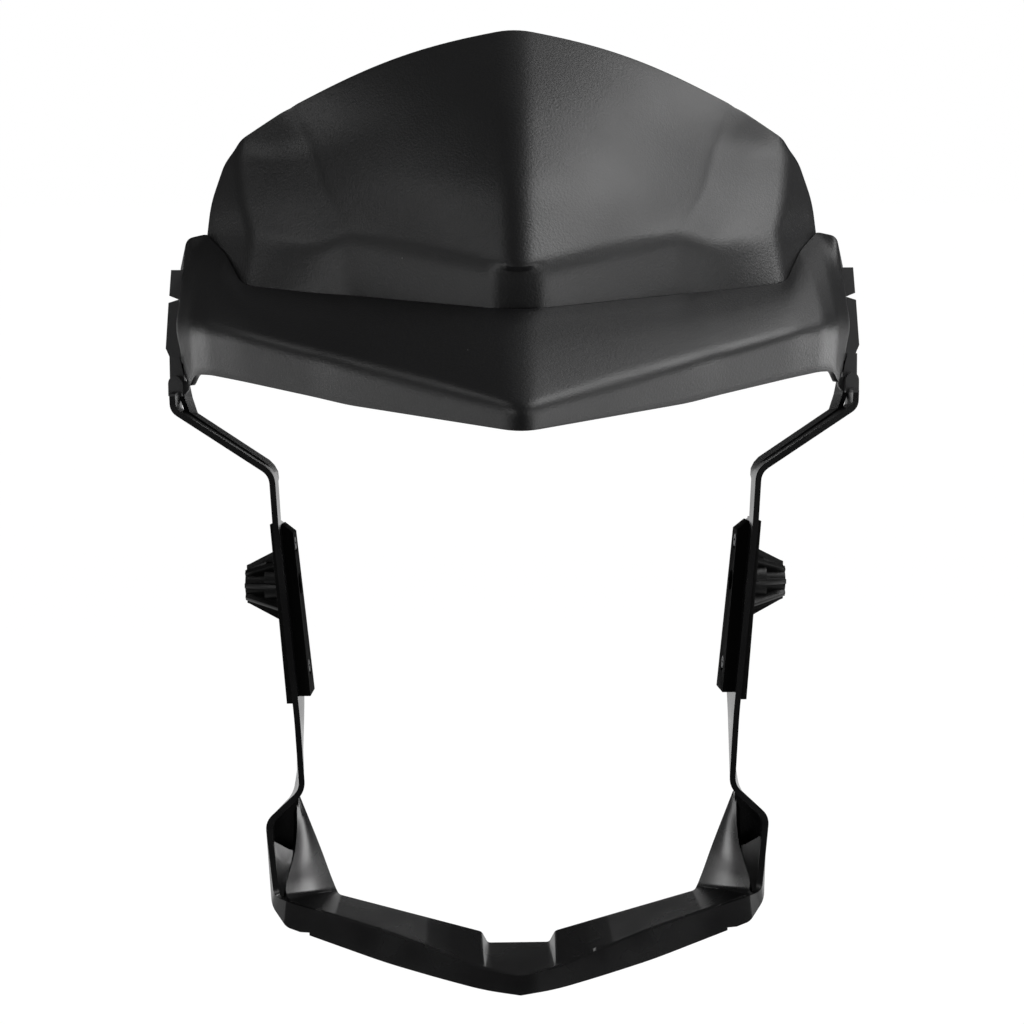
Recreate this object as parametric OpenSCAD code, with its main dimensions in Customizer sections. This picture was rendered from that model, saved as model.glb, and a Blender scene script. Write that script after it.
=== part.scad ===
// Motorcycle headlight mask: a creased upper cowl and a brow cowl screwed to a one-piece U frame
// that carries the side bolt brackets and the chin.
// Millimetres. Z is up, the front faces -Y, X = 0 is the centre plane.
// The origin is the middle of the side-bolt axis, which lies along X.

/* [Output] */
// Sub-part to build, or all of them

/* [Walls and fits] */
// Wall of the two cowls
cowl_wall = 2.5; // [1.8:0.1:4]
// Wall of the frame's arms and chin
frame_wall = 2.5; // [1.8:0.1:4]
// Gap between the brow's top edge and the upper cowl
seam_gap = 0.3; // [0.1:0.1:1]
// Gap all round a screw in its hole
screw_play = 0.25; // [0.1:0.05:0.6]

/* [Upper cowl] */
// Height of the tip of the upper cowl above the bolt axis
cowl_top_z = 228.3; // [210:0.5:250]
// Half width at the shoulders
shoulder_x = 120; // [105:0.5:130]
// Height of the shoulders
shoulder_z = 186.6; // [175:0.5:200]
// Distance from the brow's sides in to the corner where the cowl meets the brow
cowl_side_inset = 11; // [8:0.5:16]
// Height of the corner where the seam between the cowls ends
seam_corner_z = 141; // [134:0.5:148]
// How far the ridge reaches in front of the bolt axis at the nose
nose_reach = 68; // [50:1:85]
// Height of the nose crease above the bolt axis
nose_z = 126.8; // [120:0.5:135]
// Height of the flange tucked behind the brow
flange_h = 9; // [5:0.5:15]
// Depth of the turned-back top edge
top_return = 5; // [2:0.5:10]

/* [Brow cowl] */
// How far the brow's nose reaches in front of the bolt axis
brow_reach = 106; // [90:1:120]
// How far the brow's sides stand out past the frame's top corners
brow_overhang = 0.5; // [0:0.1:3]
// Height of the brow's crease at the centre
brow_crease_z = 74.8; // [68:0.2:82]
// Height of the brow's bottom edge at the centre
brow_bottom_z = 66.5; // [60:0.2:72]

/* [Cowl ribs and bosses] */
// Height of the stiffening ribs inside the cowls
rib_h = 4; // [2:0.5:8]
// Thickness of the stiffening ribs
rib_t = 1.6; // [1:0.1:3]
// Diameter of the moulded screw bosses
boss_d = 8; // [6:0.5:11]
// Depth of the pilot hole in a screw boss
pilot_depth = 9; // [5:0.5:14]

/* [Frame arms] */
// How far the arms' front edge stands in front of the bolt axis
arm_front = 14; // [8:0.5:20]
// Depth of the arms from front to back
arm_depth = 16; // [10:0.5:24]
// Half width over the arms' top corners
arm_top_x = 144; // [135:0.2:150]
// Height of the arms' top corners
arm_top_z = 73.8; // [70:0.2:80]
// Half width over the elbows
elbow_x = 104.3; // [98:0.1:112]
// Height of the elbows
elbow_z = 47.2; // [40:0.2:54]
// Lean of the straight arms, inwards going down
arm_lean = 5.5; // [3:0.1:8]
// Height of the lower end of the straight arms
arm_low_z = -56; // [-62:0.5:-52]
// Half width over the waist, where the arms bend out to the chin
waist_x = 93.1; // [88:0.1:100]
// Height of the waist
waist_z = -84.8; // [-92:0.2:-80]
// Step of the stiffening flange along the upper diagonals
flange_step = 1.1; // [0.6:0.1:2]
// How far the stiffening flange stands behind the bolt axis
flange_back = 8; // [4:0.5:12]

/* [Frame ears] */
// How far the ears stand out past the frame's top corners
ear_overhang = 6.2; // [4:0.1:10]
// Drop from the cowls' seam corner to the top of the ears
ear_drop = 6.5; // [2:0.5:14]
// Drop from the top of the ears to their V notch
ear_notch_drop = 12.6; // [10:0.1:16]
// Front plane of the ears behind the bolt axis
ear_y = 11; // [8:0.5:16]
// Drops from the top of the ears to their two screws
ear_screw_drop = [28.5, 9.5];
// Distance of the ear screws from the ears' outer edge
ear_screw_inset = 13.2; // [11:0.1:16]

/* [Chin] */
// Half width over the chin corners
chin_x = 108.6; // [100:0.1:112]
// Height of the chin corners
chin_corner_z = -104.2; // [-110:0.2:-98]
// Height of the chin lip at the centre
lip_z = -155.7; // [-162:0.2:-150]
// Height of the chin's bottom edge at the centre
chin_z = -165.4; // [-170:0.2:-158]
// How far the chin's nose stands in front of the bolt axis
chin_reach = 46; // [35:1:60]
// Wall of the chin shelf
shelf_wall = 2.2; // [1.6:0.1:3]
// Half width of the drain channel in the shelf
channel_x = 13.2; // [8:0.2:20]
// Depth of the drain channel at its back edge
channel_depth = 4.9; // [2:0.1:7]
// Number of ribs under each half of the shelf
chin_ribs = 3; // [2:1:5]

/* [Side brackets] */
// Top and bottom of the bracket plate
plate_z = [-49.5, 26.5];
// Thickness of the bracket plate at its top and bottom
plate_t = [1, 2.4];
// Depth of the bracket plate from front to back
plate_depth = 28; // [22:0.5:32]
// Distance from the centre plane to the tips of the bosses
boss_tip_x = 115.2; // [110:0.1:125]
// Outside diameter of the boss tube
boss_tube_d = 13; // [12:0.5:16]
// Diameter over the boss ribs at the tip
boss_tip_d = 16.2; // [15:0.1:20]
// Diameter over the boss ribs at the plate
boss_base_d = 27.6; // [24:0.2:32]
// Thickness of the boss ribs
boss_rib_t = 2; // [1.2:0.1:3]
// Number of boss ribs
boss_ribs = 8; // [6:1:10]
// Diameter and height of the thicker foot of the boss
boss_foot = [19, 7];

/* [Bolt collars] */
// Bore of the steel collars, for an M6 bolt
collar_bore_d = 6.5; // [6.1:0.1:9]
// Outside diameter of the steel collars, a light press fit in the bosses
collar_d = 9; // [8.5:0.1:12]

/* [Inner pads] */
// Thickness of the rubber pads inside the arms
pad_t = 4.6; // [2:0.1:6]
// Depth of the pads from front to back
pad_depth = 17; // [12:0.5:24]
// Bottom and top of the pads
pad_z = [-45, 28.4];
// Fall of the pads' slanted top edge
pad_slant = 2.7; // [0:0.1:5]
// Heights of the two screws in each pad
pad_screw_z = [-36, 17];

/* [Screws] */
// Thread diameter of the cowl and ear screws
screw_d = 4; // [3:0.1:5]
// Head diameter of the cowl and ear screws
head_d = 8; // [6:0.1:10]
// Head height of the cowl and ear screws
head_h = 2.6; // [2:0.1:4]
// Thread diameter of the pad screws
pad_screw_d = 3; // [2.5:0.1:4]
// Head diameter of the pad screws
pad_head_d = 6; // [5:0.1:8]
// Head height of the pad screws
pad_head_h = 1.8; // [1.2:0.1:2.5]
// Stations of the cowl tabs along the seam, 0 at the ridge and 3 at the corner
tab_station = [0.6, 2];

/* [Hidden] */

$fn = 40;
eps = 0.01;
left = -1;
right = 1;
lean_slope = tan(arm_lean);
wall_x = frame_wall / cos(arm_lean);
ear_t = frame_wall;
lug_back = 14;
lug_z = [-44, 28];
brow_side_x = arm_top_x + brow_overhang;
cowl_side_x = brow_side_x - cowl_side_inset;
ear_x = arm_top_x + ear_overhang;
ear_top_z = seam_corner_z - ear_drop;
ear_notch_z = ear_top_z - ear_notch_drop;
ear_screw_x = ear_x - ear_screw_inset;
ear_screw_z = [ear_top_z - ear_screw_drop[0], ear_top_z - ear_screw_drop[1]];
limb_top_z = arm_top_z + 20.2;
chin_end_x = chin_x - 11.6;
plate_front = -plate_depth / 2;
pad_front = -9;

// Colours of the part drawing
grained = [0.16, 0.16, 0.17];
glossy = [0.07, 0.07, 0.08];
rubber = [0.11, 0.11, 0.11];
steel = [0.7, 0.7, 0.72];

// Vector helpers
function unit(v) = v / max(norm(v), eps * eps);
function mix(a, b, t) = a + (b - a) * t;
function flip(p) = [-p[0], p[1], p[2]];
function total(v, i = 0) = i < len(v) - 1 ? v[i] + total(v, i + 1) : v[i];
function flat(rows) = [for (r = rows) for (p = r) p];

// Half a row of points, centre first, made into a whole row from left to right
function whole(row) = concat([for (k = [len(row) - 1:-1:1]) flip(row[k])], row);

// Averages each inner point of a list with its neighbours, which rounds a crease
function softened(p) = [for (k = [0:len(p) - 1])
    k == 0 || k == len(p) - 1 ? p[k] : (p[k - 1] + 2 * p[k] + p[k + 1]) / 4];
function turned(g) = [for (k = [0:len(g[0]) - 1]) [for (r = g) r[k]]];

// Point of a control net at row v and column u
function net_point(net, v, u) = let(
    i = min(floor(v), len(net) - 2), j = min(floor(u), len(net[0]) - 2), a = v - i, b = u - j)
    mix(mix(net[i][j], net[i][j + 1], b), mix(net[i + 1][j], net[i + 1][j + 1], b), a);
function smooth(g) = turned([for (c = turned([for (r = g) softened(r)])) softened(c)]);

// Rounds the corners of a path; each entry is a point and how far its rounding reaches
function rounded(path, steps) = concat([path[0][0]],
    [for (i = [1:len(path) - 2]) let(b = path[i][0], reach = path[i][1],
        p = b + reach * unit(path[i - 1][0] - b), q = b + reach * unit(path[i + 1][0] - b))
        for (k = [0:steps]) let(t = k / steps) mix(mix(p, b, t), mix(b, q, t), t)],
    [path[len(path) - 1][0]]);

// Surface normal at a point of a grid, lengthened at creases so that the wall keeps its thickness
function quad_normal(g, i, j) = unit(cross(g[i + 1][j + 1] - g[i][j], g[i][j + 1] - g[i + 1][j]));
function grid_normal(g, i, j) = let(
    faces = [for (a = [max(i - 1, 0):min(i, len(g) - 2)])
        for (b = [max(j - 1, 0):min(j, len(g[0]) - 2)]) quad_normal(g, a, b)],
    n = unit(total(faces)))
    n / max(0.75, min([for (f = faces) f * n]));
function set_back(g, depth) = [for (i = [0:len(g) - 1])
    [for (j = [0:len(g[0]) - 1]) g[i][j] - depth * grid_normal(g, i, j)]];
function onto_plane(g, y) = [for (r = g) [for (p = r) [p[0], y, p[2]]]];

// Solid between a front grid and a back grid of the same size
module between(front, back) {
    rows = len(front);
    cols = len(front[0]);
    half = rows * cols;
    function at(i, j) = i * cols + j;
    skin = [for (i = [0:rows - 2]) for (j = [0:cols - 2])
        let(a = at(i, j), b = at(i + 1, j), c = at(i + 1, j + 1), d = at(i, j + 1))
        for (f = [[a, d, c], [a, c, b], [half + a, half + c, half + d], [half + a, half + b, half + c]]) f];
    ends = [for (j = [0:cols - 2])
        let(a = at(0, j), d = at(0, j + 1), b = at(rows - 1, j), c = at(rows - 1, j + 1))
        for (f = [[d, a, half + a], [d, half + a, half + d], [b, c, half + c], [b, half + c, half + b]]) f];
    sides = [for (i = [0:rows - 2])
        let(a = at(i, 0), b = at(i + 1, 0), d = at(i, cols - 1), c = at(i + 1, cols - 1))
        for (f = [[a, b, half + b], [a, half + b, half + a], [c, d, half + d], [c, half + d, half + c]]) f];
    polyhedron(points = concat(flat(front), flat(back)), faces = concat(skin, ends, sides), convexity = 8);
}

module moulded_wall(g, wall) {
    between(g, set_back(g, wall));
}

// Upper cowl: creases and edges of the right half, each from the top edge down to the hidden flange
seam_drop = 14.2;
cowl_ridge = [[0, -18, cowl_top_z], [0, -39, cowl_top_z - 35.5], [0, -57, nose_z + 32.1],
    [0, -nose_reach, nose_z], [0, 4 - nose_reach, nose_z - seam_drop],
    [0, 5.5 - nose_reach, nose_z - seam_drop - flange_h]];
cheek_crease = [[96, 4, 201.2], [87, -2, 184.6], [80, -15, 164.2], [67.5, -30, 144.8],
    [68, -26.5, 121], [68.3, -25, 121 - flange_h]];
outer_cheek = [[106, 9, 196], [103, 5, 183.9], [97, -7, 163.3], [81, -24, 140.5],
    [82, -22, 122.3], [82.3, -21, 122.3 - flange_h]];
side_crease = [[116.8, 14, 190.4], [118.5, 12, 183.3], [115.5, 1, 162.5], [110.5, -8, 147],
    [113, -12, 126.4], [113.5, -11.5, 126.6 - flange_h]];
cowl_edge = [[shoulder_x, 18, shoulder_z], [125, 20, 180.7], [131.5, 22, 163.9],
    [cowl_side_x, 23, seam_corner_z + 9.5], [cowl_side_x + 1.1, 23, seam_corner_z],
    [cowl_side_x + 1.3, 23, seam_corner_z - 2]];
cowl_net = turned([cowl_ridge, cheek_crease, outer_cheek, side_crease, cowl_edge]);
cowl_rows = [0, 0.3, 0.65, 1, 1.35, 1.7, 2, 2.3, 2.6, 2.86, 3, 3.14, 3.5, 4, 5];
cowl_cols = [0, 0.04, 0.1, 0.2, 0.35, 0.5, 0.65, 0.8, 0.91, 1, 1.12, 1.4, 2, 2.5, 2.88, 3, 3.12, 3.5, 4];

// The ridge is rounded by easing the first column points forward less than a straight slope would
ridge_soft = 0.07;
function ridged(u) = u > 1 ? u : (sqrt(u * u + ridge_soft * ridge_soft) - ridge_soft)
    / (sqrt(1 + ridge_soft * ridge_soft) - ridge_soft);
function cowl_point(v, u) = let(p = net_point(cowl_net, v, u), q = net_point(cowl_net, v, ridged(u)),
    bulge = u < 1 ? 3.2 * sin(180 * u) * sin(min(v, 3) * 60) : 0)
    [p[0], q[1] - bulge, p[2] + (u < 1 && v < 2 ? 5 * sin(180 * u) * (2 - v) / 2 : 0)];
cowl_half = smooth([for (v = cowl_rows) [for (u = cowl_cols) cowl_point(v, u)]]);
cowl_face = [for (r = cowl_half) whole(r)];
cowl_low = [for (i = [8:len(cowl_rows) - 1]) cowl_face[i]];
cowl_rim = [for (k = [0:len(cowl_cols) - 1]) let(share = 1 - pow(cowl_cols[k] / 4, 4) * 0.8)
    cowl_half[0][k] + share * top_return * [-0.1 * cowl_cols[k] / 4, 0.95, -0.3]];
cowl_grid = concat([whole(cowl_rim)], cowl_face);

// Screw tabs that hang from the cowl's flange, one pair each side
function tab_point(k) = cowl_point(5, tab_station[k]);
tab_w = 13;
tab_t = 2.5;
tab_drop = 11;
tab_y = [for (k = [0, 1]) tab_point(k)[1] + cowl_wall * 0.7];
tab_hole_z = [for (k = [0, 1]) tab_point(k)[2] - 5];

module cowl_tab(k, side) {
    p = tab_point(k);
    translate([side * p[0], tab_y[k] + tab_t, tab_hole_z[k]])
        rotate([90, 0, 0])
            linear_extrude(tab_t)
                difference() {
                    union() {
                        circle(d = tab_w);
                        translate([-tab_w / 2, 0])
                            square([tab_w, tab_drop]);
                    }
                    circle(d = screw_d + 2 * screw_play);
                }
}

rib_x = [0, 34, 68, 101];
rib_box = shoulder_x + 10;
rib_low_z = nose_z - seam_drop - flange_h - 4;
cross_rib_z = 168;
module upper_cowl() {
    color(grained) {
        moulded_wall(cowl_grid, cowl_wall);
        intersection() {
            between(set_back(cowl_face, cowl_wall / 2), set_back(cowl_face, cowl_wall + rib_h));
            union() {
                for (side = [left, right], x = rib_x)
                    translate([side * x - rib_t / 2, -rib_box, rib_low_z])
                        cube([rib_t, rib_box * 1.5, cowl_top_z - rib_low_z]);
                translate([-rib_box, -rib_box, cross_rib_z])
                    cube([2 * rib_box, rib_box * 1.5, rib_t]);
            }
        }
        for (side = [left, right], k = [0, 1])
            cowl_tab(k, side);
    }
}

// Brow cowl: rows from the seam down over the crease to the bottom edge, columns from the ridge
// to the seam corner, up the cowl's side, round the outer corner and back to the ear
function seam_point(u) = cowl_point(u <= 3 ? 4 : 4 - 1.05 * (u - 3), u);
brow_seam = [seam_point(0), seam_point(1), seam_point(2), seam_point(3), seam_point(3.5), seam_point(4),
    [brow_side_x - 3, 18, seam_corner_z + 7.6], [brow_side_x + 0.5, 21, seam_corner_z - 5]];
brow_crease = [[0, -brow_reach, brow_crease_z], [68, -64, 93], [82, -54, 96.7], [112, -36.5, 104.3],
    [127, -26, 108.3], [134.5, -18, 109.7], [brow_side_x - 1.2, -3, 109], [brow_side_x, ear_y, 108]];
brow_bottom = [[0, 3 - brow_reach, brow_bottom_z], [66, -60, 76.2], [80, -50.5, 79.4], [111, -32, 86],
    [125, -22, 88.8], [130.5, -17, 89.6], [brow_side_x - 7.5, -9, 83.8], [brow_side_x - 0.8, ear_y, 96]];
brow_net = [brow_seam, brow_crease, brow_bottom];
brow_rows = [0, 0.25, 0.5, 0.75, 0.91, 1, 1.09, 1.5, 2];
brow_cols = [0, 0.04, 0.1, 0.2, 0.5, 0.8, 1.2, 2, 2.5, 2.85, 3, 3.2, 3.6, 4, 4.4, 4.8,
    5, 5.15, 5.5, 5.85, 6, 6.15, 6.6, 7];
function brow_point(v, u) = let(p = net_point(brow_net, v, u), q = net_point(brow_net, v, ridged(u)),
    swell = 2.5 * sin(180 * min(v, 1)) * (u > 5 ? 0 : 1))
    [p[0], q[1] - swell, p[2] + swell];
brow_half = smooth([for (v = brow_rows) [for (u = brow_cols) brow_point(v, u)]]);
brow_grid = [for (r = brow_half) whole(r)];

module brow_bosses() {
    for (side = [left, right]) {
        for (k = [0, 1])
            translate([side * tab_point(k)[0], tab_y[k], tab_hole_z[k]])
                rotate([90, 0, 0])
                    cylinder(d = boss_d, h = 60);
        for (z = ear_screw_z)
            translate([side * ear_screw_x, ear_y, z])
                rotate([90, 0, 0])
                    cylinder(d = boss_d, h = 60);
    }
}

module brow_pilots() {
    for (side = [left, right]) {
        for (k = [0, 1])
            translate([side * tab_point(k)[0], tab_y[k] + eps, tab_hole_z[k]])
                rotate([90, 0, 0])
                    cylinder(d = screw_d, h = pilot_depth);
        for (z = ear_screw_z)
            translate([side * ear_screw_x, ear_y + eps, z])
                rotate([90, 0, 0])
                    cylinder(d = screw_d, h = pilot_depth);
    }
}

module brow_cowl() {
    color(grained)
        difference() {
            union() {
                difference() {
                    moulded_wall(brow_grid, cowl_wall);
                    between(set_back(cowl_low, -seam_gap), set_back(cowl_low, cowl_wall * 2));
                }
                intersection() {
                    between(set_back(brow_grid, cowl_wall / 2), onto_plane(brow_grid, 60));
                    brow_bosses();
                }
            }
            brow_pilots();
        }
}

// Frame: three matched paths down the right side, along the front edge, the outer corner and the
// rear edge of the moulding; on the chin they become the lip, the bottom edge and the turned-in rim
front_y = -arm_front;
back_y = arm_depth - arm_front;
function arm_x(z) = elbow_x - (elbow_z - z) * lean_slope;
function on_arm(z, y) = [arm_x(z), y, z];
lip_slope = 0.2325;
bottom_slope = 0.2;
bottom_bow = 2.4;
function chin_y(x) = -chin_reach + (chin_reach - 20) * x / chin_end_x;
function lip_at(x) = [x, chin_y(x), lip_z + lip_slope * x];
function bottom_at(x) = [x, chin_y(x) + 0.5,
    chin_z + bottom_slope * x - bottom_bow * sin(180 * min(x / chin_end_x, 1))];
function rim_at(x) = bottom_at(x) + [-0.015 * x, 9.5, 2];
front_path = [
    [[arm_top_x + 0.2, -9, limb_top_z - 1], 0],
    [[arm_top_x, front_y, arm_top_z], 5],
    [[elbow_x, front_y, elbow_z], 6],
    [on_arm(lug_z[1], front_y), 4],
    [on_arm(lug_z[0], front_y), 4],
    [on_arm(arm_low_z, front_y), 6],
    [[waist_x, front_y, waist_z], 5],
    [[chin_x, front_y - 2, chin_corner_z], 9],
    [[chin_x - 5.2, chin_y(chin_end_x), chin_corner_z - 26.3], 3],
    [[chin_end_x - 0.4, chin_y(95), chin_corner_z - 29], 2],
    [lip_at(81.3), 4],
    [lip_at(56), 8],
    [lip_at(34), 8],
    [lip_at(14) + [0, 0, -0.3], 8],
    [[0, -chin_reach, lip_z - 0.6], 0]];
middle_path = [
    [[arm_top_x + 0.4, 2, limb_top_z], 0],
    [[arm_top_x, front_y + 7, arm_top_z], 5],
    [[elbow_x, front_y + 7, elbow_z], 6],
    [on_arm(lug_z[1], front_y + 7), 4],
    [on_arm(lug_z[0], front_y + 7), 4],
    [on_arm(arm_low_z, front_y + 7), 6],
    [[waist_x + 0.8, front_y + 7, waist_z - 1.5], 5],
    [[chin_x, front_y + 5, chin_corner_z], 9],
    [[chin_x - 3.8, chin_y(chin_end_x) + 3, chin_corner_z - 31.2], 3],
    [[chin_end_x + 1.4, chin_y(95) + 0.5, chin_corner_z - 40.8], 2],
    [bottom_at(81.3), 4],
    [bottom_at(56), 8],
    [bottom_at(34), 8],
    [bottom_at(14), 8],
    [[0, 0.5 - chin_reach, chin_z], 0]];
rear_path = [
    [[arm_top_x + 0.6, ear_y + ear_t, limb_top_z + 1], 0],
    [[arm_top_x, -1, arm_top_z], 5],
    [[elbow_x, -1, elbow_z], 6],
    [on_arm(lug_z[1], lug_back), 4],
    [on_arm(lug_z[0], lug_back), 4],
    [on_arm(arm_low_z, back_y), 6],
    [[waist_x + 3.2, back_y, waist_z - 5], 5],
    [[chin_x + 0.4, back_y, chin_corner_z - 0.5], 9],
    [[chin_x - 2, back_y, chin_corner_z - 29.8], 3],
    [[chin_end_x + 1, -8, chin_corner_z - 39.8], 2],
    [rim_at(81.3), 4],
    [rim_at(56), 8],
    [rim_at(34), 8],
    [rim_at(14), 8],
    [[0, 10 - chin_reach, chin_z + 2], 0]];

function both_sides(path) = concat(path, [for (k = [len(path) - 2:-1:0]) flip(path[k])]);
bend_steps = 4;
frame_grid = turned([for (p = [front_path, middle_path, rear_path]) both_sides(rounded(p, bend_steps))]);

// Chin shelf and the gussets that run up to the waist: front edge and back edge of the sheet
channel_floor = lip_z + 0.5;
shelf_front = [
    [waist_x + 1.6, 0.6, waist_z - 9.3],
    [97.4, -8, -109.5],
    [100.6, -16.5, -124],
    [100.6, chin_y(chin_end_x) + 1, -130.2],
    [95, chin_y(95) + 1, -132.9],
    lip_at(81.3) + [0, 1, 0],
    lip_at(channel_x + 2.6) + [0, 1, 0],
    [channel_x, 1 + chin_y(channel_x), channel_floor + 1.6],
    [0, 1 - chin_reach, channel_floor - 0.4]];
shelf_back = [
    [waist_x + 0.6, back_y + 1, waist_z - 9.3],
    [90, 4.2, -106],
    [86.2, 5.5, -117],
    [83, 6.5, -126.3],
    [80.4, 7.4, -133.9],
    [78.6, 8, -138.9],
    [channel_x + 2.6, -10, -150.2],
    [channel_x, -10, -150.2 - channel_depth],
    [0, -10, -150.2 - channel_depth]];
function shelf_row(t) = both_sides([for (k = [0:len(shelf_front) - 1]) mix(shelf_front[k], shelf_back[k], t)]);
shelf_grid = [for (t = [0, 0.5, 1]) shelf_row(t)];

// Slab that follows the outside of an arm between two heights, from depth a to b behind it
module arm_slab(z, a, b, front, back) {
    translate([0, back, 0])
        rotate([90, 0, 0])
            linear_extrude(back - front)
                polygon([[arm_x(z[0]) - a[0], z[0]], [arm_x(z[1]) - a[1], z[1]],
                    [arm_x(z[1]) - b[1], z[1] - b[2]], [arm_x(z[0]) - b[0], z[0]]]);
}

module on_side(side) {
    scale([side, 1, 1])
        children();
}

module ear() {
    translate([0, ear_y + ear_t, 0])
        rotate([90, 0, 0])
            linear_extrude(ear_t)
                polygon([[ear_x - 3, ear_top_z], [ear_x - 2, ear_notch_z + 1.6], [ear_x - 6, ear_notch_z],
                    [ear_x - 1.6, ear_notch_z - 1.4], [ear_x, limb_top_z + 7],
                    [ear_x - 1.5, limb_top_z + 3.5], [ear_x - 4.4, limb_top_z + 0.4], [ear_x - 5, limb_top_z - 8],
                    [ear_screw_x - 6, min(limb_top_z + 2, ear_screw_z[0] - 6)],
                    [ear_screw_x - 7, ear_top_z - 4.5], [ear_screw_x - 4, ear_top_z]]);
}

module flange_limb() {
    step = flange_step;
    x = arm_top_x;
    moulded_wall([
        [[x - 3.1, -2, limb_top_z - 6], [x - 3.1, flange_back, limb_top_z - 2]],
        [[x - 5.1, -2, arm_top_z + 1.2], [x - 7, flange_back, arm_top_z + 3.2]],
        [[x - 6.8, -2, arm_top_z - 1.7], [x - 9.4, flange_back, arm_top_z - 1.6]],
        [[elbow_x + 3 - step, -2, elbow_z + 3.2], [elbow_x + 2 - step, flange_back, elbow_z + 3.6]],
        [[elbow_x - 1.6, -2, elbow_z - 0.5], [elbow_x - 2.2, flange_back - 2, elbow_z - 0.4]],
        [[arm_x(40) - 0.3, -2, 38], [arm_x(38) - 0.3, back_y, 38]]], frame_wall - 0.5);
}

module limb_pad() {
    translate([0, front_y + 4, 0])
        rotate([90, 0, 0])
            linear_extrude(2)
                hull() {
                    translate([arm_top_x - 4.4, arm_top_z + 5.7])
                        square([4.4, 1]);
                    translate([arm_top_x - 2, arm_top_z + 10.8])
                        circle(r = 2.4);
                }
}

module chin_rib(x) {
    low = bottom_at(x);
    high = lip_at(x);
    share = (x - channel_x - 2.6) / (78.6 - channel_x - 2.6);
    end = mix(shelf_back[6], shelf_back[5], share);
    under = shelf_wall * 0.6;
    translate([x + rib_t / 2, 0, 0])
        rotate([90, 0, -90])
            linear_extrude(rib_t)
                polygon([[-low[1] - 1, low[2] + 1.2], [-high[1] - 1, high[2] - under - 0.6],
                    [-end[1] + 2, end[2] - under], [-end[1] + 3, end[2] - 4],
                    [-low[1] - 9, low[2] + 2.6]]);
}

// Web that closes the pocket between an arm's bend and the gusset
module pocket_web() {
    translate([0, back_y, 0])
        rotate([90, 0, 0])
            linear_extrude(frame_wall)
                polygon([[waist_x + 1.6, waist_z - 7.5], [chin_x - 1.6, chin_corner_z + 2],
                    [chin_x - 1.2, chin_corner_z - 4], [chin_x - 2.6, chin_corner_z - 23.8],
                    [chin_x - 9.1, chin_corner_z - 22.8], [waist_x + 2.5, chin_corner_z - 3.8]]);
}

module bezel_frame() {
    color(glossy)
        difference() {
            union() {
                moulded_wall(frame_grid, frame_wall);
                moulded_wall(shelf_grid, shelf_wall);
                for (side = [left, right])
                    on_side(side) {
                        ear();
                        flange_limb();
                        limb_pad();
                        pocket_web();
                        for (k = [1:chin_ribs])
                            chin_rib(channel_x + 60 * k / chin_ribs);
                    }
            }
            for (side = [left, right]) {
                for (z = ear_screw_z)
                    translate([side * ear_screw_x, ear_y + ear_t + 1, z])
                        rotate([90, 0, 0])
                            cylinder(d = screw_d + 2 * screw_play, h = ear_t + 2);
                translate([side * (arm_x(0) - 10), 0, 0])
                    rotate([0, side * 90, 0])
                        cylinder(d = collar_bore_d + 1, h = 20);
                for (z = pad_screw_z)
                    pad_screw_axis(side, z)
                        translate([0, 0, -4])
                            cylinder(d = pad_screw_d, h = 12);
            }
        }
}

// Brings the pad screw's axis up to the inner face of an arm, pointing outwards
module pad_screw_axis(side, z) {
    translate([side * (arm_x(z) - wall_x), 0, z])
        rotate([0, side * (90 + arm_lean), 0])
            children();
}

// Side bracket: wedge plate outside the arm, ribbed boss on it and a bore for the steel collar
boss_root_x = arm_x(0);
module boss_rib() {
    rotate([90, 0, 0])
        linear_extrude(boss_rib_t, center = true)
            polygon([[boss_tube_d / 2 - 1, 0], [boss_tip_d / 2, 0],
                [boss_base_d / 2, boss_root_x - boss_tip_x + 1.6],
                [boss_base_d / 2, boss_root_x - boss_tip_x - 2.5],
                [boss_tube_d / 2 - 1, boss_root_x - boss_tip_x - 2.5]]);
}

module mount_bracket(side) {
    color(rubber)
        on_side(side)
            difference() {
                union() {
                    arm_slab(plate_z, [-plate_t[1], -plate_t[0]], [3, 3, 0], plate_front, -plate_front);
                    translate([boss_root_x - 2, 0, 0])
                        rotate([0, 90, 0])
                            cylinder(d = boss_tube_d, h = boss_tip_x - boss_root_x + 2);
                    translate([boss_root_x - 2, 0, 0])
                        rotate([0, 90, 0])
                            cylinder(d = boss_foot[0], h = boss_foot[1] + 2);
                    for (k = [0:boss_ribs - 1])
                        translate([boss_tip_x, 0, 0])
                            rotate([0, 90, 0])
                                rotate([0, 0, 360 * k / boss_ribs])
                                    boss_rib();
                }
                arm_slab([-70, 60], [0, 0], [20, 20, 0], -40, 40);
                translate([boss_root_x - 10, 0, 0])
                    rotate([0, 90, 0])
                        cylinder(d = collar_d, h = 40);
                for (z = pad_screw_z)
                    pad_screw_axis(right, z)
                        cylinder(d = pad_screw_d, h = frame_wall + 0.7);
            }
}

collar_root_x = arm_x(-collar_d / 2) + 0.6;
module bolt_collar(side) {
    color(steel)
        on_side(side)
            translate([collar_root_x, 0, 0])
                rotate([0, 90, 0])
                    difference() {
                        cylinder(d = collar_d, h = boss_tip_x - collar_root_x);
                        translate([0, 0, -1])
                            cylinder(d = collar_bore_d, h = boss_tip_x);
                    }
}

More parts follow.
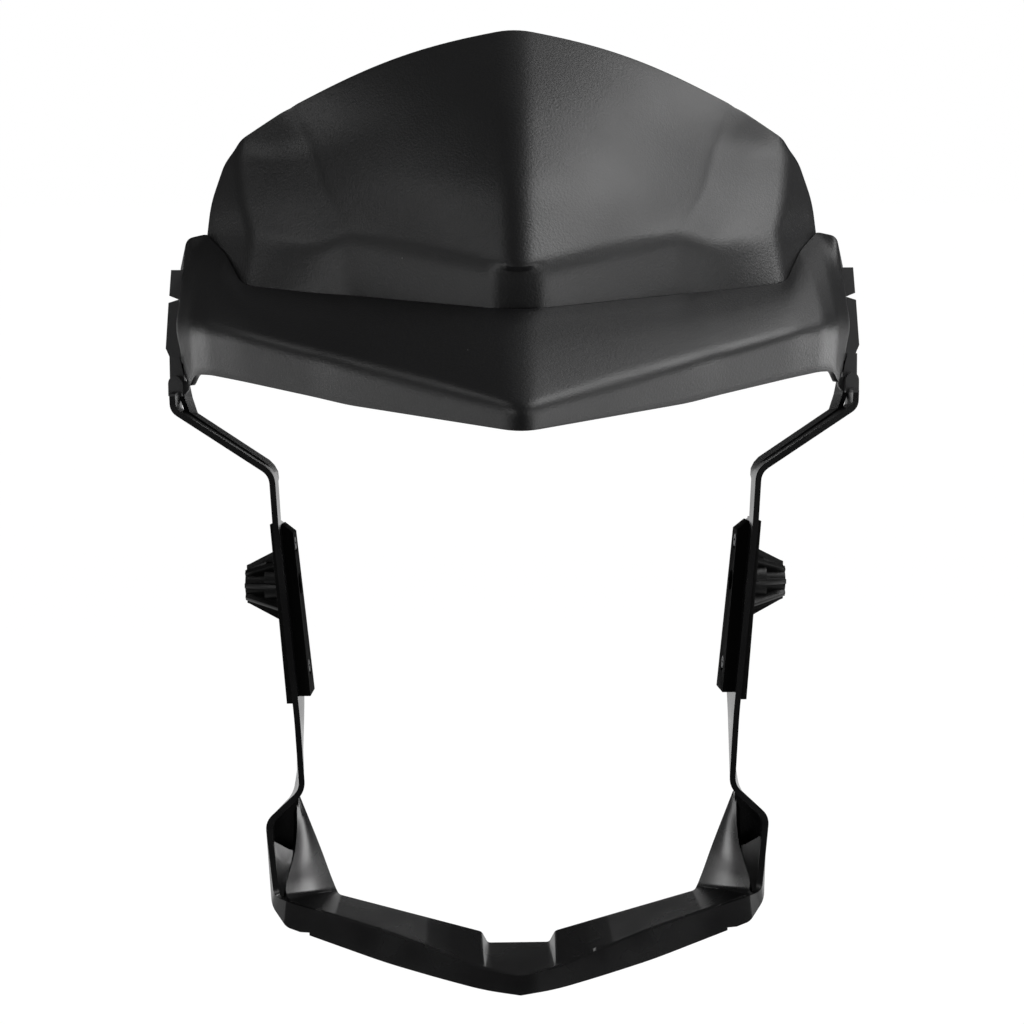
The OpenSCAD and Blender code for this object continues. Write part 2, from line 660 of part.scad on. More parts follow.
module inner_pad(side) {
    color(rubber)
        on_side(side)
            difference() {
                arm_slab(pad_z, [wall_x, wall_x], [wall_x + pad_t, wall_x + pad_t, pad_slant],
                    pad_front, pad_front + pad_depth);
                translate([arm_x(0) - 15, 0, 0])
                    rotate([0, 90, 0])
                        cylinder(d = collar_bore_d + 1, h = 20);
                for (z = pad_screw_z)
                    pad_screw_axis(right, z)
                        translate([0, 0, -pad_t - 1]) {
                            cylinder(d = pad_screw_d + 2 * screw_play, h = pad_t + 2);
                            cylinder(d = pad_head_d + 4 * screw_play, h = pad_head_h + 1);
                        }
            }
}

// Pan-head screw whose head rests on z = 0 and whose thread points up
module screw(thread_d, length, cap_d, cap_h) {
    cross_w = thread_d * 0.28;
    color(steel)
        difference() {
            union() {
                translate([0, 0, -cap_h])
                    cylinder(d1 = cap_d * 0.86, d2 = cap_d, h = cap_h * 0.4);
                translate([0, 0, -cap_h * 0.6])
                    cylinder(d = cap_d, h = cap_h * 0.6);
                cylinder(d = thread_d, h = length);
            }
            for (a = [0, 90])
                rotate([0, 0, a])
                    translate([-thread_d / 2, -cross_w / 2, -cap_h - 1])
                        cube([thread_d, cross_w, cap_h * 0.55 + 1]);
        }
}

module cowl_screw(side, k) {
    translate([side * tab_point(k)[0], tab_y[k] + tab_t, tab_hole_z[k]])
        rotate([90, 0, 0])
            screw(screw_d, tab_t + pilot_depth - 2, head_d, head_h);
}

module ear_screw(side, k) {
    translate([side * ear_screw_x, ear_y + ear_t, ear_screw_z[k]])
        rotate([90, 0, 0])
            screw(screw_d, ear_t + pilot_depth - 2, head_d, head_h);
}

module pad_screw(side, k) {
    pad_screw_axis(side, pad_screw_z[k])
        translate([0, 0, pad_head_h - pad_t])
            screw(pad_screw_d, pad_t - pad_head_h + frame_wall + 0.6, pad_head_d, pad_head_h);
}

upper_cowl();
brow_cowl();
bezel_frame();
mount_bracket(left);  // left_mount_bracket
mount_bracket(right);  // right_mount_bracket
inner_pad(left);  // left_inner_pad
inner_pad(right);  // right_inner_pad
bolt_collar(left);  // left_bolt_collar
bolt_collar(right);  // right_bolt_collar
cowl_screw(left, 1);  // cowl_screw_1
cowl_screw(left, 0);  // cowl_screw_2
cowl_screw(right, 0);  // cowl_screw_3
cowl_screw(right, 1);  // cowl_screw_4
ear_screw(left, 0);  // ear_screw_left_low
ear_screw(left, 1);  // ear_screw_left_high
ear_screw(right, 0);  // ear_screw_right_low
ear_screw(right, 1);  // ear_screw_right_high
pad_screw(left, 0);  // pad_screw_left_low
pad_screw(left, 1);  // pad_screw_left_high
pad_screw(right, 0);  // pad_screw_right_low
pad_screw(right, 1);  // pad_screw_right_high
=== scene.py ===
"""Motorcycle headlight mask: two grained cowls over a glossy U frame with side brackets.

Lengths in the shape tables are in millimetres in the part's own frame: Z is up, the front
faces -Y, X = 0 is the centre plane and the origin is the middle of the side-bolt axis.
"""
import math

import bmesh
import bpy
import numpy as np
from mathutils import Matrix, Vector


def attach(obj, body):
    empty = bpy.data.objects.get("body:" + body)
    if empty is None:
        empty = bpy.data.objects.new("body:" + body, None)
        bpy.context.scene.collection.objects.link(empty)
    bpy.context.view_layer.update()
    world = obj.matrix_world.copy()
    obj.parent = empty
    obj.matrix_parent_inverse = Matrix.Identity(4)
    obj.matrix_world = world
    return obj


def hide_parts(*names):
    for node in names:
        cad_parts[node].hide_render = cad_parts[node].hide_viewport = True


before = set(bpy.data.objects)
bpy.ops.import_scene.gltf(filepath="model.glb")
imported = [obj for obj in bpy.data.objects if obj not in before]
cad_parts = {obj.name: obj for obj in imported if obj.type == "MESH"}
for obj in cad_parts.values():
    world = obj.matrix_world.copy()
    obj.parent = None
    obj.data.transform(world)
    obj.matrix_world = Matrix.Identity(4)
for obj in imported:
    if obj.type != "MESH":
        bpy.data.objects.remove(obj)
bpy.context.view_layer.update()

bl_info = {
    "name": "Headlight Mask",
    "version": (1, 0, 0),
    "blender": (4, 5, 0),
    "location": "View3D > Sidebar > Headlight Mask",
    "description": "Builds the visual model of a motorcycle headlight mask around its packed solids",
    "category": "Object",
}

MM = 0.001
BODY = "root"


def linear(hex_colour):
    """Linear RGBA of an sRGB hex colour."""
    parts = [int(hex_colour[k:k + 2], 16) / 255 for k in (1, 3, 5)]
    return tuple(c / 12.92 if c <= 0.04045 else ((c + 0.055) / 1.055) ** 2.4 for c in parts) + (1.0,)


def length(name, description, default_mm, lowest_mm, highest_mm):
    """A size property, given in millimetres and kept in metres."""
    return bpy.props.FloatProperty(
        name=name, description=description, default=default_mm * MM, min=lowest_mm * MM,
        max=highest_mm * MM, unit="LENGTH", subtype="DISTANCE", precision=5)


def colour(name, description, hex_colour):
    return bpy.props.FloatVectorProperty(
        name=name, description=description, default=linear(hex_colour), size=4, min=0, max=1,
        subtype="COLOR")


class MaskSizes(bpy.types.PropertyGroup):
    """Sizes that change how the mask looks without changing what it fits."""

    cowl_wall: length("Cowl wall", "Wall of the two cowls", 2.5, 1.8, 4)
    ridge_round: length("Ridge rounding", "How far the centre ridge's rounding reaches to each side", 8, 2, 14)
    crease_round: length("Crease rounding", "How far the rounding of the other creases reaches", 5, 1, 7)
    edge_round: length("Edge rounding", "Rounding of the moulded edges", 0.35, 0.1, 0.8)
    grain: length("Grain", "Width of a pebble of the grained finish", 1.0, 0.5, 3)
    dust: length("Dust", "Width of a dust speck", 0.55, 0.1, 1)


class MaskColours(bpy.types.PropertyGroup):
    """Colours of the mask's finishes and of the stage."""

    grained: colour("Grained plastic", "Pebble-grained plastic of the two cowls", "#121213")
    glossy: colour("Glossy plastic", "Polished plastic of the frame", "#070708")
    bracket: colour("Bracket plastic", "Matt plastic of the side brackets", "#050505")
    rubber: colour("Rubber", "Rubber of the inner pads", "#050505")
    steel: colour("Steel", "Zinc-plated steel of the collars", "#b4b7b9")
    screws: colour("Screws", "Blackened steel of the screws", "#1a1b1c")
    stage: colour("Stage", "Floor and backdrop", "#f4f4f4")


# ---- Shape tables ----

COWL_WALL_MM = 2.5
# Creases and edges of the upper cowl's right half, from the top edge down to the hidden flange
COWL_RIDGE = [(0, -18, 228.3), (0, -39, 192.8), (0, -57, 158.9), (0, -68, 126.8),
              (0, -64, 112.6), (0, -62.5, 103.6)]
CHEEK_CREASE = [(96, 4, 201.2), (87, -2, 184.6), (80, -15, 164.2), (67.5, -30, 144.8),
                (68, -26.5, 121), (68.3, -25, 112)]
OUTER_CHEEK = [(106, 8.4, 196), (103, 6.2, 183.9), (97, -7, 163.3), (81, -24, 140.5),
               (82, -22, 122.3), (82.3, -21, 113.3)]
SIDE_CREASE = [(116.8, 14, 190.4), (118.5, 12, 183.3), (115.5, 1, 162.5), (110.5, -8, 147),
               (113, -12, 126.4), (113.5, -11.5, 117.6)]
COWL_EDGE = [(120, 18, 186.6), (125, 20, 180.7), (131.5, 22, 163.9), (133.5, 23, 150.5),
             (134.6, 23, 141), (134.8, 23, 139)]
COWL_COLUMNS = [COWL_RIDGE, CHEEK_CREASE, OUTER_CHEEK, SIDE_CREASE, COWL_EDGE]
TOP_RETURN = 5
NOSE_HALF_WIDTH = 10
SEAM_GAP = 0.5
# Rows of the brow's right half, from the ridge to the ear
BROW_CREASE = [(0, -106, 74.8), (68, -64, 93), (82, -54, 96.7), (112, -36.5, 104.3),
               (127, -26, 108.3), (134.5, -18, 109.7), (143.3, -3, 109), (144.5, 11, 108)]
BROW_BOTTOM = [(0, -103, 66.5), (66, -60, 76.2), (80, -50.5, 79.4), (111, -32, 86),
               (125.5, -22, 88.8), (132.8, -15.5, 89.2), (137, -9, 83.8), (143.7, 11, 96)]


# Frame: the bottom of the chin from the centre to its corner
CHIN_REACH, CHIN_END_X, LIP_Z, CHIN_Z = 46, 97, -155.7, -165.4


def chin_y(x):
    return -CHIN_REACH + (CHIN_REACH - 20) * x / CHIN_END_X


def lip(x):
    return (x, chin_y(x), LIP_Z + 0.2325 * x)


def bottom(x):
    return (x, chin_y(x) + 0.5, CHIN_Z + 0.22 * x - 2.9 * math.sin(math.pi * min(x / CHIN_END_X, 1)))


def rim(x):
    low = bottom(x)
    return (low[0] - 0.015 * x, low[1] + 9.5, low[2] + 2)


# Right half of the frame's wall from the ear down to the centre of the chin: front edge, middle of
# the outer face, rear edge, and how far the rounding of each corner reaches
FRAME_PATH = [
    ((144.6, -2, 94), (144.6, 6, 94), (144.6, 13.5, 95), 0),
    ((144.3, -2, 82.8), (144.4, 5, 83.2), (144.6, 13.5, 83.8), 0),
    ((144.2, -14, 81.2), (144.3, -7, 81.6), (144.4, 4, 82), 0),
    ((144, -14, 73.8), (144, -7, 73.8), (144, -1, 73.8), 3.5),
    ((103.4, -14, 46.9), (103.4, -8, 46.9), (103.4, -3.4, 46.9), 3.5),
    ((102.3, -14, 27.5), (102.3, -9, 27.5), (102.3, -4.6, 27.5), 0),
    ((102.1, -14, 24), (102.1, -7, 24), (102.1, 14, 24), 0),
    ((95.5, -14, -44), (95.5, -7, -44), (95.5, 14, -44), 4),
    ((94.4, -14, -56), (94.4, -7, -56), (94.4, 2, -56), 6),
    ((93.2, -14, -78), (93.9, -7, -79.7), (95.5, 2, -81.8), 0),
    ((92.7, -14, -86.4), (94.3, -7, -88.1), (97.1, 2, -91.4), 3.5),
    ((107.1, -16, -99.5), (107.5, -8, -101.3), (108.1, 2, -105.1), 4),
    ((103.4, -20, -130.5), (104.8, -17, -135.4), (107.2, 2, -134), 3),
    ((96.6, chin_y(95), -133.2), (98.4, chin_y(95) + 0.5, -143.8), (98, -8, -142.8), 2),
    (lip(81.3), bottom(81.3), rim(81.3), 4),
    (lip(56), bottom(56), rim(56), 8),
    ((34, chin_y(34), -149.2), bottom(34), rim(34), 8),
    ((15, chin_y(15), -155.3), (15, chin_y(15) + 0.5, -164), (15, chin_y(15) + 10, -162), 7),
    ((0, -46, -156.7), (0, -45.5, -164.9), (0, -36, -162.9), 0)]
# Gusset and chin shelf: front edge, back edge, reach of the rounding, depth of the hollow between
SHELF_PATH = [
    ((95.5, 0.6, -93.2), (94.6, 3, -93.2), 0, 0),
    ((95, -4, -105.4), (90, 4.2, -106), 5, 0.6),
    ((95.4, -8.5, -114), (87.2, 5.2, -114), 4, 1),
    ((97, -13, -120.4), (85, 5.9, -120.5), 4, 1.2),
    ((98.8, -17.2, -127), (82.2, 6.9, -129.4), 4, 1.2),
    ((98, chin_y(97) + 1, -131.8), (79.9, 7.7, -136), 3, 1),
    ((81.3, chin_y(81.3) + 1, lip(81.3)[2]), (78.6, 8, -138.9), 5, 0),
    ((34, chin_y(34) + 1, -149), (34, -4.8, -146.9), 6, 0),
    ((15.8, chin_y(15.8) + 1, -154.9), (15.8, -10, -150.2), 1.2, 0),
    ((13.2, chin_y(13.2) + 1, -155.8), (13.2, -10, -155.1), 1.2, 0),
    ((0, -45, -156.6), (0, -10, -155.1), 0, 0)]
FLANGE = [[(142.4, -2, 84.3), (141.6, 8, 85.8)], [(141.8, -2, 78.8), (140.3, 8, 79.2)],
          [(139.6, -2, 72.3), (138, 8, 71.9)], [(107.6, -4.4, 50.8), (106.9, 7, 51.2)],
          [(105.4, -4.8, 48.9), (104.8, 5.5, 49.2)], [(103.9, -6, 47.2), (103.4, 3, 47.1)],
          [(103.1, -7, 45.4), (102.9, 0, 45)], [(102.9, -8, 43.4), (102.8, -4, 43)]]
POCKET_RAMP = [[(95.2, -7.6, -115), (98.6, -8.2, -113.6), (105.4, -9, -109.5)],
               [(96.2, -11.4, -119.5), (99.6, -12.4, -118.6), (104.9, -12.6, -115)],
               [(98.6, -16.2, -125.6), (101.2, -17, -125.6), (104, -16.8, -123.5)],
               [(99.4, -18.6, -130.6), (101.2, -18.8, -131.4), (102.6, -18.8, -132)]]
RIDGE_TUBE_MM = 1.15
# Flat plates of the frame: outline in X and Z, front plane and thickness
EAR = [(147.2, 134.5), (148.2, 123.5), (144.2, 121.9), (148.6, 120.5), (150.2, 101), (148.7, 97.5),
       (145.8, 94.4), (145.2, 86), (131, 96), (130, 130), (133, 134.5)]
LUG = [(145.9, 97), (145.9, 80.4), (141.5, 80.7), (139.4, 81.2), (138, 83), (137.6, 86), (139.7, 87),
       (140.6, 92), (141.8, 97)]
LUG_PAD = [(146.1, 80.4), (140.5, 80.4)] + [
    (143.3 - 2.8 * math.cos(math.radians(a)), 85.6 + 3.2 * math.sin(math.radians(a))) for a in range(0, 181, 15)]
POCKET_WEB = [(94.7, -92.6), (105.2, -100.4), (105.6, -105.5), (104.6, -132), (98.5, -132), (95.2, -108)]
FRAME_PLATES = [(EAR, 11, 2.5), (LUG, -3, 2.5), (LUG_PAD, -6, 4), (POCKET_WEB, -0.5, 2.5)]
FRAME_WALL_MM, SHELF_WALL_MM = 2.5, 2.2
CLIP_NOTCH = ((88.4, -40, -152), (93, -6, -145.6))
RIB_X = (33.2, 53.2, 73.2)


# ---- Modelling helpers ----

def only(obj):
    """Makes one object the selected and active one."""
    bpy.ops.object.select_all(action="DESELECT")
    obj.select_set(True)
    bpy.context.view_layer.objects.active = obj


def apply_modifier(obj, kind, **settings):
    """Adds a modifier with its settings and applies it."""
    only(obj)
    made = obj.modifiers.new(kind.title(), kind)
    for key, value in settings.items():
        setattr(made, key, value)
    bpy.ops.object.modifier_apply(modifier=made.name)


def combine(obj, tool, operation):
    """Joins, cuts or keeps what is common of two closed solids; the tool is used up."""
    apply_modifier(obj, "BOOLEAN", object=tool, operation=operation, solver="MANIFOLD")
    bpy.data.objects.remove(tool)


def rounded_edges(obj, width, angle=38, segments=2):
    apply_modifier(obj, "BEVEL", width=width, segments=segments, limit_method="ANGLE",
                   angle_limit=math.radians(angle), use_clamp_overlap=True, harden_normals=False,
                   miter_outer="MITER_ARC")


def finished(obj, name, slot, material, *nodes, angle=32):
    """Names a piece, smooths it, gives it its material and hides the solids it stands for."""
    only(obj)
    obj.name = obj.data.name = name
    bpy.ops.object.shade_smooth_by_angle(angle=math.radians(angle))
    obj.data.materials.clear()
    obj.data.materials.append(material)
    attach(obj, BODY)
    if nodes:
        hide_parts(*nodes)
    return obj


def solid_copy(node):
    """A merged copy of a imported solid, with its flat areas made whole faces."""
    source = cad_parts[node]
    bpy.ops.object.select_all(action="DESELECT")
    obj = bpy.data.objects.new(node + "_copy", source.data.copy())
    bpy.context.scene.collection.objects.link(obj)
    only(obj)
    bpy.ops.object.mode_set(mode="EDIT")
    bpy.ops.mesh.select_all(action="SELECT")
    bpy.ops.mesh.remove_doubles(threshold=0.002 * MM)
    bpy.ops.mesh.dissolve_limited(angle_limit=math.radians(0.4))
    bpy.ops.object.mode_set(mode="OBJECT")
    if obj.data.has_custom_normals:
        bpy.ops.mesh.customdata_custom_splitnormals_clear()
    return obj


def cut_corners(path, reaches, spans, arc_steps=6):
    """Points along a path whose inner corners are rounded; each corner's rounding starts and ends
    at its reach in millimetres, and each straight run is cut into its number of spans."""
    path = np.asarray(path, float)
    starts, ends, arcs = [path[0]], [], []
    for k in range(1, len(path) - 1):
        here, before, after = path[k], path[k - 1], path[k + 1]
        back_length, on_length = (np.linalg.norm((p - here)[:3]) for p in (before, after))
        reach = min(reaches[k], 0.45 * back_length, 0.45 * on_length)
        p = here + (before - here) * reach / back_length
        q = here + (after - here) * reach / on_length
        t = np.linspace(0, 1, (arc_steps if reach > 0 else 0) + 1)[:, None]
        arcs.append((1 - t) ** 2 * p + 2 * t * (1 - t) * here + t ** 2 * q)
        ends.append(p)
        starts.append(q)
    ends.append(path[-1])
    points = []
    for k, (a, b) in enumerate(zip(starts, ends)):
        t = np.linspace(0, 1, spans[k] + 1)[:, None]
        run = a + (b - a) * t
        points.extend(run if k == 0 else run[1:])
        if k < len(arcs):
            points.extend(arcs[k][1:])
    return np.array(points)


def whole(half):
    """A row of the right half, centre first, made into a row from left to right."""
    left = half[:0:-1].copy()
    left[:, 0] *= -1
    return np.vstack([left, half])


def lofted(rows, across, down, across_spans, down_spans):
    """Grid over rows of corner points: creases run along the columns and the rows, each rounded
    by its own reach. Points carry their column and row number after x, y and z."""
    across_all = list(across[:0:-1]) + list(across)
    spans_all = list(across_spans[::-1]) + list(across_spans)
    sampled = []
    for row in rows:
        full = whole(np.asarray(row, float))
        middle = len(full) // 2
        run = full[middle + 1] - full[middle]
        # the rounded ridge still comes as far forward as the ridge's own line
        full[middle, 1:3] -= across[0] / 2 * run[1:3] / np.linalg.norm(run[:3])
        sampled.append(cut_corners(full, across_all, spans_all))
    sampled = np.array(sampled)
    columns = [cut_corners(sampled[:, k], down, down_spans) for k in range(sampled.shape[1])]
    return np.array(columns).transpose(1, 0, 2)


def sheet(name, grid):
    """A grid primitive whose points are set to a lofted grid, first row at the top."""
    rows, columns = grid.shape[:2]
    bpy.ops.object.select_all(action="DESELECT")
    bpy.ops.mesh.primitive_grid_add(x_subdivisions=columns - 1, y_subdivisions=rows - 1, size=1)
    obj = bpy.context.object
    obj.name = obj.data.name = name
    if len(obj.data.vertices) != rows * columns:
        raise RuntimeError("the grid primitive has another number of points than the loft")
    obj.data.vertices.foreach_set("co", (grid[::-1, :, :3] * MM).astype(np.float32).ravel())
    obj.data.update()
    return obj


def thickened(obj, wall, offset=-1):
    apply_modifier(obj, "SOLIDIFY", thickness=wall, offset=offset, use_even_offset=True,
                   use_quality_normals=True)
    return obj


def shifted(grid, depth):
    """The grid moved along its own surface normals, in millimetres, outwards if positive."""
    points = grid[:, :, :3]
    down, across = np.gradient(points, axis=0), np.gradient(points, axis=1)
    normal = np.cross(down, across)
    normal /= np.linalg.norm(normal, axis=2, keepdims=True)
    moved = grid.copy()
    moved[:, :, :3] += depth * normal
    return moved


def box(low, high):
    """A closed box between two corners in millimetres."""
    low, high = np.array(low, float), np.array(high, float)
    bpy.ops.object.select_all(action="DESELECT")
    bpy.ops.mesh.primitive_cube_add(size=1, location=(low + high) / 2 * MM, scale=(high - low) * MM)
    bpy.ops.object.transform_apply(location=True, rotation=True, scale=True)
    return bpy.context.object


def rod(start, radius, depth, sides=40, along_x=False):
    """A closed cylinder from a point towards the front, or centred on it along X, in millimetres."""
    bpy.ops.object.select_all(action="DESELECT")
    centre = np.array(start, float) - np.array((0, 0 if along_x else depth / 2, 0))
    turn = (0, math.pi / 2, 0) if along_x else (math.pi / 2, 0, 0)
    bpy.ops.mesh.primitive_cylinder_add(vertices=sides, radius=radius * MM, depth=depth * MM,
                                        location=centre * MM, rotation=turn)
    bpy.ops.object.transform_apply(location=True, rotation=True, scale=True)
    return bpy.context.object


def plate(points, wall):
    """A flat plate: a filled circle whose points are set to an outline, thickened to both sides."""
    bpy.ops.object.select_all(action="DESELECT")
    bpy.ops.mesh.primitive_circle_add(vertices=len(points), radius=1, fill_type="NGON")
    obj = bpy.context.object
    obj.data.vertices.foreach_set("co", (np.array(points) * MM).astype(np.float32).ravel())
    obj.data.update()
    return thickened(obj, wall * MM, offset=0)


def tube(points, radius):
    """A closed round bar along points: a curve with a round bevel and capped ends, made a mesh."""
    bpy.ops.object.select_all(action="DESELECT")
    bpy.ops.curve.primitive_bezier_curve_add()
    obj = bpy.context.object
    curve = obj.data
    curve.splines.clear()
    line = curve.splines.new("POLY")
    line.points.add(len(points) - 1)
    for point, place in zip(line.points, points):
        point.co = (*(np.array(place) * MM), 1)
    curve.dimensions, curve.bevel_depth, curve.bevel_resolution, curve.use_fill_caps = "3D", radius * MM, 4, True
    bpy.ops.object.convert(target="MESH")
    return outward(bpy.context.object)


def outward(obj):
    """Turns all faces of a closed piece outwards."""
    only(obj)
    bpy.ops.object.mode_set(mode="EDIT")
    bpy.ops.mesh.select_all(action="SELECT")
    bpy.ops.mesh.normals_make_consistent(inside=False)
    bpy.ops.object.mode_set(mode="OBJECT")
    return obj


def mirrored(points, side):
    return [(side * p[0], *p[1:]) for p in points]


# ---- Materials ----

ETCHED_FROM_MM = 80


def add(tree, kind, inputs=None, **settings):
    """Adds one node. Settings are its options; inputs are values, or (node, output) pairs to link."""
    made = tree.nodes.new(kind)
    for key, value in settings.items():
        setattr(made, key, value)
    for key, value in (inputs or {}).items():
        if isinstance(value, tuple) and isinstance(value[0], bpy.types.Node):
            tree.links.new(value[0].outputs[value[1]], made.inputs[key])
        else:
            made.inputs[key].default_value = value
    return made


def new_material(name):
    """An empty material with its output node."""
    material = bpy.data.materials.get(name)
    if material:
        return material, None, None
    material = bpy.data.materials.new(name)
    material.use_nodes = True
    tree = material.node_tree
    tree.nodes.clear()
    return material, tree, add(tree, "ShaderNodeOutputMaterial")


def close_material(tree, output, inputs):
    shader = add(tree, "ShaderNodeBsdfPrincipled", inputs)
    tree.links.new(shader.outputs["BSDF"], output.inputs["Surface"])


def grained_plastic(context):
    """Injection-moulded polypropylene with a spark-eroded pebble grain: a soft satin sheen that
    breaks up along the creases, with a few pale dust specks caught in the grain."""
    material, tree, output = new_material("grained_moulded_polypropylene")
    if tree is None:
        return material
    sizes, colours = context.scene.mask_sizes, context.scene.mask_colours
    place = add(tree, "ShaderNodeTexCoord")
    pebbles = add(tree, "ShaderNodeTexVoronoi", {"Vector": (place, "Object"), "Scale": 1 / sizes.grain,
                                                 "Smoothness": 0.6}, feature="SMOOTH_F1")
    fine = add(tree, "ShaderNodeTexNoise", {"Vector": (place, "Object"), "Scale": 2.4 / sizes.grain,
                                            "Detail": 3.0, "Roughness": 0.6})
    height = add(tree, "ShaderNodeMath", {0: (pebbles, "Distance"), 1: (fine, "Fac")}, operation="ADD")
    bump = add(tree, "ShaderNodeBump", {"Height": (height, "Value"), "Strength": 0.55,
                                        "Distance": 0.09 * MM})
    clouds = add(tree, "ShaderNodeTexNoise", {"Vector": (place, "Object"), "Scale": 14.0, "Detail": 3.0})
    sheen = add(tree, "ShaderNodeMapRange", {"Value": (clouds, "Fac"), "From Min": 0.3, "From Max": 0.7,
                                             "To Min": 0.38, "To Max": 0.46})
    cells = add(tree, "ShaderNodeTexVoronoi", {"Vector": (place, "Object"), "Scale": 1 / (9 * MM)})
    spot = add(tree, "ShaderNodeMapRange", {"Value": (cells, "Distance"), "From Min": sizes.dust / (18 * MM),
                                            "From Max": sizes.dust / (36 * MM), "To Min": 0.0, "To Max": 1.0})
    choice = add(tree, "ShaderNodeSeparateColor", {"Color": (cells, "Color")})
    chosen = add(tree, "ShaderNodeMath", {0: (choice, "Red"), 1: 0.8}, operation="GREATER_THAN")
    speck = add(tree, "ShaderNodeMath", {0: (spot, "Result"), 1: (chosen, "Value")}, operation="MULTIPLY")
    tone = add(tree, "ShaderNodeMix", {0: (speck, "Value"), 6: colours.grained, 7: linear("#6a6a6a")},
               data_type="RGBA")
    close_material(tree, output, {"Base Color": (tone, 2), "Roughness": (sheen, "Result"),
                                  "Normal": (bump, "Normal"), "IOR": 1.49})
    return material


def glossy_plastic(context):
    """Injection-moulded ABS: near-black and semi-gloss, with reflections that waver slightly with
    sink marks and flow; the ears above the arms are from an etched part of the tool, matt and a
    little greyer."""
    material, tree, output = new_material("polished_moulded_abs")
    if tree is None:
        return material
    place = add(tree, "ShaderNodeTexCoord")
    flow = add(tree, "ShaderNodeTexNoise", {"Vector": (place, "Object"), "Scale": 45.0, "Detail": 2.0})
    sheen = add(tree, "ShaderNodeMapRange", {"Value": (flow, "Fac"), "From Min": 0.3, "From Max": 0.7,
                                             "To Min": 0.22, "To Max": 0.3})
    height = add(tree, "ShaderNodeSeparateXYZ", {"Vector": (place, "Object")})
    etched = add(tree, "ShaderNodeMapRange", {"Value": (height, "Z"), "From Min": ETCHED_FROM_MM * MM,
                                              "From Max": (ETCHED_FROM_MM + 0.5) * MM})
    rough = add(tree, "ShaderNodeMix", {0: (etched, "Result"), 2: (sheen, "Result"), 3: 0.48}, data_type="FLOAT")
    tone = add(tree, "ShaderNodeMix", {0: (etched, "Result"), 6: context.scene.mask_colours.glossy,
                                       7: linear("#2c2c2d")}, data_type="RGBA")
    close_material(tree, output, {"Base Color": (tone, 2), "Roughness": (rough, 0), "IOR": 1.53})
    return material


def matt_plastic(context):
    """Glass-filled nylon: dull black with a fine dry texture."""
    material, tree, output = new_material("matt_glass_filled_nylon")
    if tree is None:
        return material
    place = add(tree, "ShaderNodeTexCoord")
    dry = add(tree, "ShaderNodeTexNoise", {"Vector": (place, "Object"), "Scale": 900.0, "Detail": 2.0})
    sheen = add(tree, "ShaderNodeMapRange", {"Value": (dry, "Fac"), "From Min": 0.3, "From Max": 0.7,
                                             "To Min": 0.3, "To Max": 0.42})
    bump = add(tree, "ShaderNodeBump", {"Height": (dry, "Fac"), "Strength": 0.3, "Distance": 0.05 * MM})
    close_material(tree, output, {"Base Color": context.scene.mask_colours.bracket, "Specular IOR Level": 0.2,
                                  "Roughness": (sheen, "Result"), "Normal": (bump, "Normal"), "IOR": 1.53})
    return material


def pad_rubber(context):
    """Moulded EPDM rubber: dull, a little greyer where it has been handled."""
    material, tree, output = new_material("moulded_epdm_rubber")
    if tree is None:
        return material
    place = add(tree, "ShaderNodeTexCoord")
    bloom = add(tree, "ShaderNodeTexNoise", {"Vector": (place, "Object"), "Scale": 120.0, "Detail": 4.0})
    tone = add(tree, "ShaderNodeMix", {0: (bloom, "Fac"), 6: context.scene.mask_colours.rubber,
                                       7: linear("#0a0a0a")}, data_type="RGBA")
    bump = add(tree, "ShaderNodeBump", {"Height": (bloom, "Fac"), "Strength": 0.3, "Distance": 0.06 * MM})
    close_material(tree, output, {"Base Color": (tone, 2), "Roughness": 0.85, "Specular IOR Level": 0.06,
                                  "Normal": (bump, "Normal"), "IOR": 1.52})
    return material


def turned_steel(context):
    """Turned mild steel with bright zinc plating: fine rings round the bolt axis."""
    material, tree, output = new_material("zinc_plated_turned_steel")
    if tree is None:
        return material
    place = add(tree, "ShaderNodeTexCoord")
    rings = add(tree, "ShaderNodeTexWave", {"Vector": (place, "Object"), "Scale": 260.0, "Distortion": 0.6},
                wave_type="BANDS", bands_direction="X")
    bump = add(tree, "ShaderNodeBump", {"Height": (rings, "Fac"), "Strength": 0.2, "Distance": 0.02 * MM})
    close_material(tree, output, {"Base Color": context.scene.mask_colours.steel, "Metallic": 1.0,
                                  "Roughness": 0.32, "Normal": (bump, "Normal")})
    return material


def blackened_steel(context):
    """Cold-headed steel screws with a black oxide finish, rubbed brighter on high spots."""
    material, tree, output = new_material("black_oxide_steel")
    if tree is None:
        return material
    place = add(tree, "ShaderNodeTexCoord")
    rubbed = add(tree, "ShaderNodeTexNoise", {"Vector": (place, "Object"), "Scale": 600.0, "Detail": 3.0})
    tone = add(tree, "ShaderNodeMix", {0: (rubbed, "Fac"), 6: context.scene.mask_colours.screws,
                                       7: linear("#2c2d2f")}, data_type="RGBA")
    close_material(tree, output, {"Base Color": (tone, 2), "Metallic": 1.0, "Roughness": 0.42})
    return material


# ---- Operators ----

